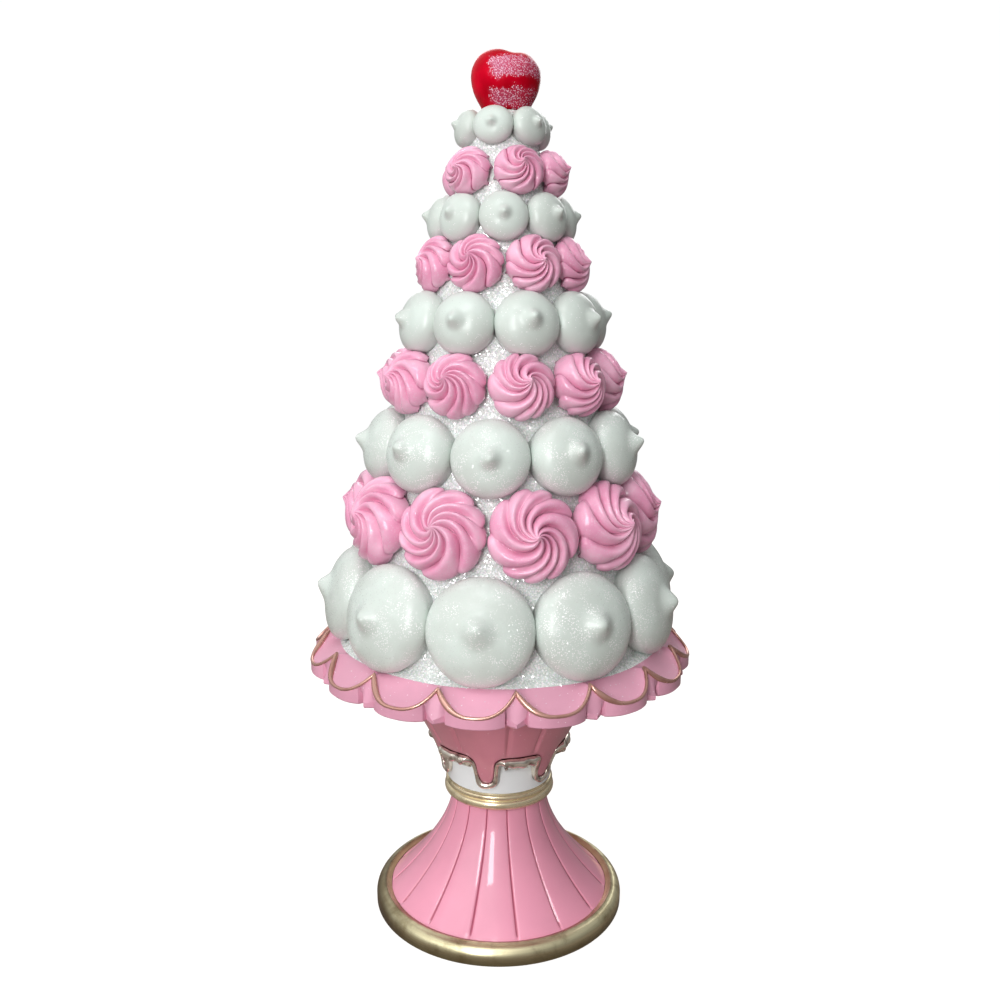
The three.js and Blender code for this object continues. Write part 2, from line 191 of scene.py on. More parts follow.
def addNode(tree, kind, inputs=(), output=0, **settings):
    node = tree.nodes.new(kind)
    for key, value in settings.items():
        setattr(node, key, value)
    for name, value in dict(inputs).items():
        feed(node.inputs[name], value)
    return Flow(node.outputs[output])


def calc(operation, *values):
    return addNode(treeOf(values), "ShaderNodeMath", dict(enumerate(values)), operation=operation)


def calcVector(operation, *values):
    return addNode(treeOf(values), "ShaderNodeVectorMath", dict(enumerate(values)), operation=operation)


def vector(x, y, z):
    return addNode(treeOf((x, y, z)), "ShaderNodeCombineXYZ", {"X": x, "Y": y, "Z": z})


def split(place):
    x = addNode(place.tree, "ShaderNodeSeparateXYZ", {0: place})
    return x, x.out(1), x.out(2)


def noise(place, scale, detail=2.0, roughness=0.5):
    return addNode(place.tree, "ShaderNodeTexNoise", {
        "Vector": place, "Scale": scale, "Detail": detail, "Roughness": roughness})


def spread(value, low, high, outLow=0.0, outHigh=1.0):
    # a soft step from one value to another
    return addNode(value.tree, "ShaderNodeMapRange", {
        "Value": value, "From Min": low, "From Max": high, "To Min": outLow, "To Max": outHigh},
        interpolation_type="SMOOTHSTEP")


def between(value, low, high, edge):
    # one between two limits, with soft edges
    return spread(value, low - edge, low + edge) * spread(value, high - edge, high + edge, 1.0, 0.0)


def newTree(name, inputs):
    # inputs maps a socket's name to its default: a whole number, a number or a material slot (None)
    tree = bpy.data.node_groups.new(name, "GeometryNodeTree")
    tree.interface.new_socket("Geometry", in_out="INPUT", socket_type="NodeSocketGeometry")
    for label, default in inputs.items():
        kind = "NodeSocketFloat"
        if default is None:
            kind = "NodeSocketMaterial"
        elif isinstance(default, int):
            kind = "NodeSocketInt"
        socket = tree.interface.new_socket(label, in_out="INPUT", socket_type=kind)
        if default is not None:
            socket.default_value = default
    tree.interface.new_socket("Geometry", in_out="OUTPUT", socket_type="NodeSocketGeometry")
    given = {socket.name: Flow(socket) for socket in tree.nodes.new("NodeGroupInput").outputs}
    return tree, given


def gridOf(tree, around, along):
    return addNode(tree, "GeometryNodeMeshGrid", {
        "Size X": 1.0, "Size Y": 1.0, "Vertices X": around + 1, "Vertices Y": along})


def store(geometry, name, value, domain="POINT"):
    return addNode(geometry.tree, "GeometryNodeStoreNamedAttribute", {
        "Geometry": geometry, "Name": name, "Value": value}, data_type="FLOAT", domain=domain)


def stored(tree, name):
    return addNode(tree, "GeometryNodeInputNamedAttribute", {"Name": name}, data_type="FLOAT")


def endTree(tree, geometry, material):
    realized = addNode(tree, "GeometryNodeRealizeInstances", {"Geometry": geometry})
    painted = addNode(tree, "GeometryNodeSetMaterial", {"Geometry": realized, "Material": material})
    feed(tree.nodes.new("NodeGroupOutput").inputs[0], painted)


def grow(name, tree, values, start=None):
    # runs a tree on a mesh and returns the result as a plain mesh
    mesh = start if start else bpy.data.meshes.new(name)
    piece = newObject(name, mesh)
    modifier = piece.modifiers.new("nodes", "NODES")
    modifier.node_group = tree
    for item in tree.interface.items_tree:
        if item.in_out == "INPUT" and item.name in values:
            modifier[item.identifier] = values[item.name]
    depsgraph = bpy.context.evaluated_depsgraph_get()
    plain = bpy.data.meshes.new_from_object(piece.evaluated_get(depsgraph))
    bpy.data.objects.remove(piece)
    plain.name = name
    return plain


# paints and finishes; colours are screen colours, 0 to 255

paints = {
    "white": (212, 223, 216), "whiteShade": (203, 212, 205), "glitter": (255, 255, 255),
    # the third colour here is painted shade for the rosettes' grooves
    "pink": (243, 188, 212), "pinkDeep": (230, 156, 188), "pinkGrooveShade": (172, 72, 112),
    "pinkGlitter": (255, 222, 238), "snow": (204, 213, 208),
    "silverFlake": (255, 255, 255), "silverFlakeShade": (232, 238, 236),
    "pinkFlake": (255, 240, 248), "pinkFlakeShade": (240, 180, 208),
    # the third colour here is painted shade for the flare's grooves
    "plate": (229, 164, 188), "flare": (247, 164, 190), "flareCreaseShade": (176, 78, 104),
    "cup": (226, 146, 162), "standGlitter": (255, 236, 246), "enamel": (246, 250, 251),
    "cherry": (214, 0, 38), "cherryDeep": (170, 0, 22), "cherryDust": (196, 96, 130),
    "cherryGlitter": (246, 220, 240),
    # the third colour here is painted shade for the foot ring's left end
    "ringGold": (240, 232, 192), "ringShade": (150, 132, 92), "ringLeftShade": (98, 80, 52),
    # the second colour here is the bead's darker wear and also painted shade low on the foot ring
    "copper": (142, 88, 68), "antiqueWearAndShade": (138, 124, 88), "beadGold": (240, 226, 190),
    # the third colour here is painted shade along the drip lips' edges
    "lipGold": (248, 240, 226), "lipShade": (98, 70, 56), "lipEdgeShade": (84, 58, 46),
    "roseGold": (210, 162, 148), "roseShade": (164, 108, 94),
}


def colour(red, green, blue):
    # a screen colour as linear light
    def straight(value):
        value /= 255
        return value / 12.92 if value <= 0.04045 else ((value + 0.055) / 1.055) ** 2.4
    return (straight(red), straight(green), straight(blue), 1)


def paint(name):
    return colour(*paints[name])


def newMaterial(name, **sockets):
    # a material, its shader, and the coordinates that its patterns lie in
    material = bpy.data.materials.new(name)
    material.use_nodes = True
    shader = material.node_tree.nodes["Principled BSDF"]
    for label, value in sockets.items():
        shader.inputs[label].default_value = value
    place = addNode(material.node_tree, "ShaderNodeTexCoord", output="Object")
    return material, shader, place


def meshValue(place, name):
    return addNode(place.tree, "ShaderNodeAttribute", attribute_name=name, output="Fac")


def mixColour(share, first, second, blend="MIX"):
    # a Mix node's share is its first input, and its colours are the seventh and eighth
    return addNode(treeOf((share, first, second)), "ShaderNodeMix", {0: share, 6: first, 7: second},
                   output=2, data_type="RGBA", blend_type=blend)


def clouded(place, scale, low, high, dark, light):
    return mixColour(spread(noise(place, scale, 3), low, high), paint(dark), paint(light))


def finishWith(shader, base, height, strength, distance):
    # the base colour, and a relief whose distance is in millimetres
    feed(shader.inputs["Base Color"], base)
    feed(shader.inputs["Normal"], addNode(height.tree, "ShaderNodeBump", {
        "Height": height, "Strength": strength, "Distance": distance * mm}))


def specks(place, size, share, breadth=0.36):
    # one where a grain of glitter lies, and each grain's own tone and tint
    tint = addNode(place.tree, "ShaderNodeTexVoronoi", {"Vector": place, "Scale": 1 / (size * mm)},
                   output="Color")
    chance = addNode(place.tree, "ShaderNodeSeparateColor", {"Color": tint})
    grain = (chance < share) * (tint.out("Distance") < breadth)
    return grain, chance.out(1), tint


def addSparkle(shader, shown, tint, tilt):
    # grains of glitter under a clear coat, each facing its own way
    normal = addNode(shown.tree, "ShaderNodeNewGeometry", output="Normal")
    lean = calcVector("SUBTRACT", tint, (0.5, 0.5, 0.5))
    facing = calcVector("MULTIPLY_ADD", lean, (tilt, tilt, tilt), normal)
    feed(shader.inputs["Coat Normal"], calcVector("NORMALIZE", facing))
    feed(shader.inputs["Coat Weight"], shown)
    shader.inputs["Coat IOR"].default_value = 1.8
    shader.inputs["Coat Roughness"].default_value = 0.22


whiteLook = {"roughness": 0.3, "frost": 0.95, "tilt": 1.1, "ripple": 0.35}


def icingWhite(name, glitterShare, grainSize):
    # satin icing, a little greyer in random clouds, strewn with fine glitter
    look = whiteLook
    material, shader, place = newMaterial(name, Roughness=look["roughness"])
    base = clouded(place, 60, 0.35, 0.7, "whiteShade", "white")
    patches = spread(noise(place, 110, 3), 0.4, 0.6, 0.15, 1.0)
    grain, _, tint = specks(place, grainSize, glitterShare)
    addSparkle(shader, grain, tint, look["tilt"])
    frosted = grain * patches * look["frost"]
    finishWith(shader, mixColour(frosted, base, paint("glitter")),
               noise(place, 220, 3) + frosted * 0.2, look["ripple"], 0.2)
    return material


pinkLook = {"roughness": 0.2, "grainSize": 0.7, "grainShare": 0.42, "frost": 0.4, "tilt": 0.9,
            "ripple": 0.25}


def icingPink():
    # satin icing with painted shade in the grooves, and frosty glitter on the crests
    look = pinkLook
    material, shader, place = newMaterial("pinkIcing", Roughness=look["roughness"])
    base = clouded(place, 90, 0.3, 0.75, "pinkDeep", "pink")
    crest = meshValue(place, "crest")
    # painted shade: the grooves are darker than the crests
    grooveShaded = mixColour(spread(crest, 0.05, 0.55), paint("pinkGrooveShade"), base)
    grain, _, tint = specks(place, look["grainSize"], look["grainShare"])
    shown = grain * crest
    addSparkle(shader, shown, tint, look["tilt"])
    finishWith(shader, mixColour(shown * look["frost"], grooveShaded, paint("pinkGlitter")),
               noise(place, 260) + shown * 0.5, look["ripple"], 0.15)
    return material


snowLook = {"grainSize": 0.9, "grainShare": 0.85, "breadth": 0.5, "roughness": (0.65, 0.25),
            "ripple": 0.45}


def icingSnow():
    # the icing under the glitter: white, rough and grainy
    look = snowLook
    material, shader, place = newMaterial("snowIcing")
    grain, tone, _ = specks(place, look["grainSize"], look["grainShare"], look["breadth"])
    shade = tone ** 0.4 * grain
    feed(shader.inputs["Roughness"], spread(tone, 0, 1, *look["roughness"]))
    finishWith(shader, mixColour(shade, paint("snow"), paint("glitter")),
               shade + noise(place, 400, 3), look["ripple"], 0.3)
    return material


def flakeMaterial(name, pale, dark, tintShare):
    # each flake has its own tone, with a faint rainbow tint
    material, shader, place = newMaterial(name, **{
        "Roughness": 0.35, "Coat Weight": 1.0, "Coat IOR": 2.5, "Coat Roughness": 0.1})
    tone = meshValue(place, "flakeTone")
    hue = addNode(place.tree, "ShaderNodeCombineColor", {0: tone, 1: tintShare, 2: 1.0}, mode="HSV")
    body = mixColour(tone, paint(dark), paint(pale))
    feed(shader.inputs["Base Color"], mixColour(1.0, body, hue, "MULTIPLY"))
    return material


def paintGloss(name, paintName, roughness, coat, glitterShare=0.0, variation=0.06, creaseShade=None):
    # sprayed paint on cast resin: slight clouds, faint orange peel
    material, shader, place = newMaterial(name, **{
        "Roughness": roughness, "Coat Weight": coat, "Coat Roughness": 0.05})
    base = paint(paintName)
    darker = tuple(c * (1 - 2 * variation) for c in base[:3]) + (1,)
    cloud = mixColour(spread(noise(place, 35, 4), 0.3, 0.7), darker, base)
    peel = noise(place, 500)
    if creaseShade:
        # painted shade at the bottom of each groove
        creaseShadeShare = spread(meshValue(place, "creaseShade"), 0.25, 0.7, 0.0, 0.85)
        cloud = mixColour(creaseShadeShare, cloud, paint(creaseShade))
    if glitterShare > 0:
        grain, _, _ = specks(place, 0.5, glitterShare)
        cloud = mixColour(grain, cloud, paint("standGlitter"))
        peel = peel + grain * 2.0
    finishWith(shader, cloud, peel, 0.12, 0.1)
    return material


ringCopperAndShadeLimits = {"copperR": 56.9, "raggedness": 1.2, "lowShadeZ": (1.5, 8.0), "leftShadeX": (-50, -26), "wander": 20}


def ringCopperAndShade(toned, place):
    # copper-brown inside the crest, with painted shade towards the table and most of all at its left end
    w = ringCopperAndShadeLimits
    x, y, z = split(place)
    ragged = calc("SQRT", x ** 2.0 + y ** 2.0) + noise(place, 300, 3) * (w["raggedness"] * mm)
    showing = spread(ragged, (w["copperR"] - 0.7) * mm, (w["copperR"] + 1.2) * mm, 0.85, 0.0)
    toned = mixColour(showing, toned, paint("copper"))
    # painted shade: darker towards the table
    low = spread(z, w["lowShadeZ"][0] * mm, w["lowShadeZ"][1] * mm, 0.75, 0.0)
    toned = mixColour(low, toned, paint("antiqueWearAndShade"))
    # painted shade: darker at the ring's left end
    across = x + noise(place, 120, 4) * (w["wander"] * mm)
    leftShade = spread(across, w["leftShadeX"][0] * mm, w["leftShadeX"][1] * mm, 0.8, 0.0)
    return mixColour(leftShade, toned, paint("ringLeftShade"))


def lipEdgeShading(toned, place):
    # painted shade along both edges of a lip, ragged with noise
    edgeShadeShare = meshValue(place, "tone") + (noise(place, 260, 3) - 0.5) * 0.7
    return mixColour(spread(edgeShadeShare, 0.05, 0.36), paint("lipEdgeShade"), toned)


def gilt(name, paintName, shade, roughness, wear, metal, brush=0.0, mottle=110, dents=0.2,
         extraToneAndShade=None):
    # gilt paint, brushed round the piece and rubbed to a darker ground in patches
    material, shader, place = newMaterial(name, Metallic=metal)
    patches = spread(noise(place, mottle, 5, 0.6), 0.3 + wear, 0.62 + wear)
    grainScale = (40, 40, 1400) if brush else (90, 90, 90)
    streaks = addNode(place.tree, "ShaderNodeMapping", {"Vector": place, "Scale": grainScale})
    brushed = noise(streaks, 1.0, 4)
    base = mixColour(patches, paint(shade), paint(paintName))
    toned = mixColour(spread(brushed, 0.4, 0.75, 0.0, 0.5 * brush), base, paint(shade))
    # painted shade, and the foot ring's copper-brown inside, come from the given function
    if extraToneAndShade:
        toned = extraToneAndShade(toned, place)
    feed(shader.inputs["Roughness"], spread(brushed, 0.2, 0.8, roughness, roughness + 0.15))
    finishWith(shader, toned, brushed * brush + patches, dents, 0.1)
    return material


cherryLook = {
    "grainSize": 0.46, "grainShare": 0.97, "breadth": 0.5, "tilt": 0.9,
    # the glitter's bands: heights and sides in millimetres
    "upper": (387.0, 394.8, 1.4), "lower": (375.5, 382.5, 1.2), "lowerShare": 0.6,
    "startX": (-7, -3), "fadeX": (-3, 12), "wander": 10,
}


def cherryGloss():
    # deep red gloss, with two brushed-on bands of silvery glitter
    look = cherryLook
    material, shader, place = newMaterial("cherryRed", **{"Roughness": 0.25, "Specular IOR Level": 0.05})
    base = clouded(place, 70, 0.3, 0.7, "cherryDeep", "cherry")
    x, _, z = split(place)
    wander = (noise(place, 150, 5, 0.7) - 0.5) * (look["wander"] * mm)
    across = x + wander
    upper, lower, startX, fadeX = (
        [limit * mm for limit in look[key]] for key in ("upper", "lower", "startX", "fadeX"))
    started = spread(across, *startX)
    faded = spread(across, *fadeX, 1.0, 0.55)
    upper = between(z + wander, *upper)
    lower = between(z + wander, *lower)
    bands = started * calc("MAXIMUM", upper, lower * look["lowerShare"]) * faded
    grain, tone, tint = specks(place, look["grainSize"], look["grainShare"], look["breadth"])
    dusted = grain * bands > tone
    addSparkle(shader, dusted * 0.6, tint, look["tilt"])
    silver = mixColour(tone ** 0.6, paint("cherryGlitter"), paint("cherryDust"))
    hazy = mixColour(bands * 0.75, base, paint("cherryDust"))
    finishWith(shader, mixColour(dusted, hazy, silver), noise(place, 240) + dusted, 0.15, 0.15)
    return material


whiteIcing = icingWhite("whiteIcing", 0.75, 0.7)
smoothIcing = icingWhite("smoothIcing", 0.12, 0.6)
pinkIcing = icingPink()
snowIcing = icingSnow()
silverFlakes = flakeMaterial("silverFlakes", "silverFlake", "silverFlakeShade", 0.07)
plateFlakes = flakeMaterial("plateFlakes", "pinkFlake", "pinkFlakeShade", 0.04)
platePaint = paintGloss("platePink", "plate", 0.32, 0.2, glitterShare=0.008)
flarePaint = paintGloss("flarePink", "flare", 0.4, 0.7, variation=0.04, creaseShade="flareCreaseShade")
cupPaint = paintGloss("cupPink", "cup", 0.3, 0.35, glitterShare=0.01)
enamel = paintGloss("whiteEnamel", "enamel", 0.14, 0.6, variation=0.03)
ringGold = gilt("ringGold", "ringGold", "ringShade", 0.3, -0.07, 0.95, 0.5, mottle=70, extraToneAndShade=ringCopperAndShade)
antiqueGold = gilt("antiqueGold", "beadGold", "antiqueWearAndShade", 0.2, -0.1, 0.75, 0.2)
paleGold = gilt("paleGold", "lipGold", "lipShade", 0.1, -0.05, 0.9, mottle=220, dents=1.5,
                extraToneAndShade=lipEdgeShading)
roseGold = gilt("roseGold", "roseGold", "roseShade", 0.2, -0.1, 0.7, mottle=50)
cherryRed = cherryGloss()
print("materials made")


# stand: heights above the table and radii, in millimetres

footRing = {"inner": 53.7, "outer": 61.1, "widestZ": 4.2, "bulge": 4.6, "footRound": 1.2,
            "crestR": 58.2, "crestZ": 9.8, "lipZ": 8.4}


def makeFootRing():
    f = footRing
    profile = [(f["inner"], 0.3), (f["inner"] + 0.4, 0)]
    profile += arc((f["outer"] - f["footRound"], f["footRound"]), f["footRound"], -90, -20, 6)
    profile += arc((f["outer"] - f["bulge"], f["widestZ"]), f["bulge"], 0, 78, 16)
    profile += [(f["crestR"] - 1.9, f["crestZ"] - 0.35), (f["crestR"] - 2.5, f["crestZ"] - 0.75)]
    profile += [(f["inner"] + 0.9, f["lipZ"] + 0.15), (f["inner"], f["lipZ"] - 0.3)]
    return turned("foot_ring_visual", profile, 256, ringGold, loop=True, sharpAngle=50)


pleats = {
    "Foot Radius": 53.4, "Neck Radius": 23.0, "Bottom": 7.9, "Top": 57.3, "Curve": 1.72,
    "Pleats": 15, "Turn": -86.3, "Depth": 0.85, "Half Width": 1.2, "Roll": 0.5, "Roll Width": 2.4,
    "Swell": 0.25, "Crowding": 0.12, "Run Out": 0.03, "Around": 540, "Along": 48,
}


def pleatTree():
    tree, given = newTree("pleatedTrumpet", {**pleats, "Material": None})
    grid = gridOf(tree, given["Around"], given["Along"])
    around, up, _ = split(grid.out("UV Map"))
    # columns crowd together at each pleat, where the groove is
    pleat = around * given["Pleats"]
    crowded = pleat - calc("SINE", pleat * fullTurn) * given["Crowding"]
    angle = crowded / given["Pleats"] * fullTurn + calc("RADIANS", given["Turn"])
    within = calc("FRACT", crowded)
    degrees = calc("MINIMUM", within, 1.0 - within) * (360.0 / given["Pleats"])
    groove = 1.0 - calc("MINIMUM", 1.0, degrees / given["Half Width"])
    swell = calc("SINE", within * math.pi)
    # the trumpet curve, from the neck out to the foot
    height = (given["Top"] - given["Bottom"]) * up + given["Bottom"]
    down = 1.0 - up
    trumpet = (given["Foot Radius"] - given["Neck Radius"]) * down ** given["Curve"] + given["Neck Radius"]
    fade = down * 0.5 + 0.5
    rolled = calc("EXPONENT", degrees / given["Roll Width"] * -1.0)
    # the grooves run out at the foot, so the ring closes round it
    ends = spread(up, 0.0, given["Run Out"])
    cut = (rolled * given["Roll"] + groove * given["Depth"]) * fade * ends
    radius = trumpet + (swell * (given["Swell"] * fade) - cut)
    x = radius * calc("SINE", angle)
    y = radius * (calc("COSINE", angle) * -1.0)
    placed = addNode(tree, "GeometryNodeSetPosition", {"Geometry": grid, "Position": vector(x, y, height)})
    # marks the grooves, where the flare gets painted shade
    marked = store(placed, "creaseShade", groove * ends)
    small = addNode(tree, "GeometryNodeTransform", {"Geometry": marked, "Scale": (mm, mm, mm)})
    endTree(tree, small, given["Material"])
    return tree


def closeEnds(shell):
    # takes the lower rim of the tube straight down to the table, then caps both ends
    bmesh.ops.remove_doubles(shell, verts=shell.verts, dist=mergeDistance)
    rims = [edge for edge in shell.edges if len(edge.link_faces) == 1]
    lower = [edge for edge in rims if edge.verts[0].co.z < pleats["Top"] / 2 * mm]
    grown = bmesh.ops.extrude_edge_only(shell, edges=lower)["geom"]
    for vert in grown:
        if isinstance(vert, bmesh.types.BMVert):
            vert.co.z = 0
    rims = [edge for edge in shell.edges if len(edge.link_faces) == 1]
    bmesh.ops.holes_fill(shell, edges=rims, sides=0)
    turnOutwards(shell)


def makePleatedFoot():
    mesh = grow("pleated_foot_visual", pleatTree(), {**pleats, "Material": flarePaint})
    editMesh(mesh, closeEnds)
    shadeSmooth(mesh, 32)
    return newObject("pleated_foot_visual", mesh)


collarBead = {"radius": 26.8, "bottom": 57.5, "top": 66.2, "lowerRound": 2.5, "upperRound": 1.35}


def makeCollarBead():
    # a broad round bead with a finer one on top
    b = collarBead
    profile = [(0, b["bottom"]), (b["radius"] - 2.6, b["bottom"])]
    profile += arc((b["radius"] - b["lowerRound"], b["bottom"] + 2.6), b["lowerRound"], -75, 62, 14)
    profile += [(b["radius"] - 1.15, b["bottom"] + 5.1), (b["radius"] - 0.75, b["bottom"] + 5.6)]
    profile += arc((b["radius"] - 1.9, b["bottom"] + 6.5), b["upperRound"], -20, 75, 8)
    profile += [(b["radius"] - 1.75, b["top"]), (0, b["top"])]
    return turned("collar_bead_visual", profile, 160, antiqueGold, sharpAngle=50)


collarBand = {"radius": 25.5, "crown": 0.05, "bottom": 66.3, "middle": 76, "top": 88}


def makeCollarBand():
    b = collarBand
    profile = [(0, b["bottom"]), (b["radius"], b["bottom"]), (b["radius"] + b["crown"], b["middle"]),
               (b["radius"], b["top"]), (0, b["top"])]
    return turned("collar_band_visual", profile, 128, enamel)


drips = {
    "count": 6, "turn": -72.5, "tipZ": 72.2, "archZ": 87.4, "wall": 25.75,
    "topZ": 125.2, "topR": 56.0, "bottomR": 27.3, "bottomDrop": 1.8, "opening": 1.35,
    "foldShare": 0.62, "foldDepth": 1.1, "foldWidth": 1.5,
    "lipGap": 0.1, "lipWidth": 1.9, "tipWidth": 0.8, "archWidth": 2.9, "lipProud": 1.05, "archProud": 1.0,
    "lipSunk": 0.45, "lipDrop": 4.2, "waver": 0.14, "waves": (23, 41),
    # half a drip and half an arch: share of the half spacing, share of the height
    "outline": [(0, 0), (0.16, 0.05), (0.24, 0.25), (0.262, 0.55), (0.31, 0.8), (0.44, 0.95), (0.62, 1),
                (1, 1)],
}


def cupRadius(z):
    d = drips
    bottomZ = d["tipZ"] - d["bottomDrop"]
    share = np.clip((z - bottomZ) / (d["topZ"] - bottomZ), 0, None)
    return d["bottomR"] + (d["topR"] - d["bottomR"]) * share ** d["opening"]


def dripEdge():
    # azimuth, height and share of the height of the icing's lower edge, all the way round
    d = drips
    half = smoothPath(d["outline"], 9)
    mirrored = half[::-1][1:-1] * (-1, 1) + (2, 0)
    whole = np.vstack([half, mirrored])
    spacing = 360 / d["count"]
    shares = np.concatenate([whole[:, 0] / 2 + i for i in range(d["count"])])
    angle = np.radians(d["turn"] + spacing * shares)
    height = np.tile(whole[:, 1], d["count"])
    return angle, lerp(d["tipZ"], d["archZ"], height), height


def foldDip(angle):
    # a fold runs up the cup on each side of an arch
    d = drips
    spacing = 360 / d["count"]
    place = np.mod(np.degrees(angle) - d["turn"], spacing)
    fromDrip = np.minimum(place, spacing - place)
    return d["foldDepth"] * bell(fromDrip, d["foldShare"] * spacing / 2, d["foldWidth"])


def makeDripCup():
    d = drips
    angle, edgeZ, _ = dripEdge()
    insideZ = d["topZ"] - 30
    rows = [ringPoints(0, insideZ, angle), ringPoints(d["wall"], insideZ, angle)]
    rows.append(ringPoints(d["wall"], edgeZ, angle))
    # the edge is rounded, then the cup flares up to the plate
    rounding = ((0.9, 0.05), (0.35, 0.25), (0.08, 0.7))
    for inset, lift in rounding:
        rows.append(ringPoints(cupRadius(edgeZ) - inset, edgeZ + lift, angle))
    for t in np.linspace(0.04, 1, 26):
        z = lerp(edgeZ + rounding[-1][1], d["topZ"], t)
        rows.append(ringPoints(cupRadius(z) - foldDip(angle) * smooth(t * 12), z, angle))
    rows.append(ringPoints(0, d["topZ"], angle))
    return wrapGrid("drip_cup_visual", np.array(rows), cupPaint)


def makeDripEdging():
    # a gilt lip square to the icing's edge, round outside and sloping in under each arch
    d = drips
    angle, edgeZ, height = dripEdge()
    across = angle * d["wall"]
    stepX = np.mod(np.roll(across, -1) - np.roll(across, 1), fullTurn * d["wall"])
    stepZ = np.roll(edgeZ, -1) - np.roll(edgeZ, 1)
    length = np.hypot(stepX, stepZ)
    outX, outZ = stepZ / length, -stepX / length
    atTip = smooth((0.3 - height) / 0.3)
    atArch = smooth((height - 0.75) / 0.25)
    slope = d["lipDrop"] * smooth((height - 0.6) / 0.4)
    slow, fast = d["waves"]
    waver = 1 + d["waver"] * (np.sin(slow * angle + 1) + np.sin(fast * angle)) / 2
    width = (d["lipWidth"] + d["tipWidth"] * atTip + d["archWidth"] * atArch) * waver
    proud = (d["lipProud"] + d["archProud"] * atArch) * waver
    outer = cupRadius(edgeZ) - d["lipSunk"]
    # share of the width, of the bulge, of the way in to the band and of the drop
    section = [(0.5 - 0.5 * math.cos(t), math.sin(t), 0, 0) for t in np.linspace(0, math.pi, 13)]
    section += [(1.0, 0, 0.5, 0.5), (1.0, 0, 1, 1), (0.5, 0, 1, 0.6), (0, 0, 0.5, 0)]
    rows = []
    tones = []
    for share, bulge, inward, drop in section:
        move = d["lipGap"] + share * width
        radius = lerp(outer + proud * bulge, d["wall"], inward)
        rows.append(ringPoints(radius, edgeZ + outZ * move - slope * drop, angle + outX * move / d["wall"]))
        # painted shade is darkest beside the cup, lighter beside the band and absent underneath
        bandSide = 0.5 if share > 0.5 else 0
        tones.append(np.full(len(angle), 0.8 if inward > 0 else max(bulge, bandSide)))
    return wrapGrid("drip_edging_visual", np.array(rows), paleGold, loop=True, sharpAngle=60,
                    tones=np.array(tones))


# plate of petals

petals = {
    "count": 16, "turn": -85.4, "cuspR": 82.4, "cuspZ": 139.0, "tipR": 89.9, "tipZ": 130.8,
    "fullness": 2.6, "topZ": 138.6, "flatR": 76.0, "bottomZ": 125.5, "skirtZ": 126.4,
    "leafR": 88.0, "leafZ": 128.1, "notchR": 84.2, "notchZ": 129.7, "leafHalf": 0.73, "leafStep": 0.012,
    "dish": 0.8, "underR": 58,
}


def petalSteps():
    # steps across one petal from cusp to cusp, doubled where the lower leaf begins
    p = petals
    within = p["leafHalf"] - p["leafStep"]
    inner = np.linspace(-within, within, 27)
    outer = np.linspace(-1, -(p["leafHalf"] + p["leafStep"]), 6)
    return np.concatenate([outer, inner, -outer[1:][::-1]])


def petalRim(across):
    p = petals
    full = 1 - np.abs(across) ** p["fullness"]
    return lerp(p["cuspR"], p["tipR"], full), lerp(p["cuspZ"], p["tipZ"], full)


def petalsRound(steps):
    # the same steps across each petal in turn, and their azimuths
    count = petals["count"]
    across = np.tile(steps, count)
    petal = np.repeat(np.arange(count), len(steps))
    return across, np.radians(petals["turn"] + 180 / count * (2 * petal + 1 + across))


def makePetalPlate():
    p = petals
    across, angle = petalsRound(petalSteps())
    rimR, rimZ = petalRim(across)
    size = np.abs(across)
    inLeaf = size > p["leafHalf"]
    toTip = (size - p["leafHalf"]) / (1 - p["leafHalf"])
    lowR = np.where(inLeaf, lerp(p["notchR"], p["leafR"], toTip), rimR)
    lowShadeZ = np.where(inLeaf, lerp(p["notchZ"], p["leafZ"], toTip), p["leafZ"])
    outline = [
        (0, p["bottomZ"]), (p["underR"], p["bottomZ"]), (lowR - 0.5, p["skirtZ"] - 0.2),
        (lowR, p["skirtZ"] + 0.3), (lowR, lowShadeZ), (rimR, rimZ - 0.3), (rimR - 0.25, rimZ),
    ]
    # the petal's face is a shallow dish between its gilt edge and the flat middle
    for t in (0.12, 0.3, 0.5, 0.7, 0.88, 1.0):
        sag = p["dish"] * math.sin(math.pi * t) * (1 - size ** 2)
        outline.append((lerp(rimR, p["flatR"], t), lerp(rimZ, p["topZ"], t) - sag))
    outline.append((0, p["topZ"]))
    rows = [ringPoints(radius, z, angle) for radius, z in outline]
    return wrapGrid("petal_plate_visual", np.array(rows), platePaint, sharpAngle=28)


edging = {"radius": 0.75, "swell": 0.9, "swellAt": -0.7, "swellWidth": 0.32, "inset": 0.5, "rise": 0.3,
          "sides": 10, "steps": 35}


def sweptLine(name, centres, radii, sides, material):
    # a round bead along a closed path
    ahead = np.roll(centres, -1, axis=0) - np.roll(centres, 1, axis=0)
    ahead /= np.linalg.norm(ahead, axis=1, keepdims=True)
    across = np.cross(ahead, (0, 0, 1))
    across /= np.linalg.norm(across, axis=1, keepdims=True)
    above = np.cross(across, ahead)
    rows = [centres + radii[:, None] * (across * math.cos(t) + above * math.sin(t))
            for t in roundSteps(sides)]
    return wrapGrid(name, np.array(rows), material, loop=True, sharpAngle=70)


def makePetalEdging():
    # the line of paint is broadest on one flank of each petal
    e = edging
    across, angle = petalsRound(np.linspace(-1, 1, e["steps"] + 1)[:-1])
    rimR, rimZ = petalRim(across)
    radii = e["radius"] * (1 + e["swell"] * bell(across, e["swellAt"], e["swellWidth"]))
    inset = e["inset"] + radii - e["radius"]
    centres = ringPoints(rimR - inset, rimZ + e["rise"], angle)
    return sweptLine("petal_edging_visual", centres, radii, e["sides"], roseGold)


# cake

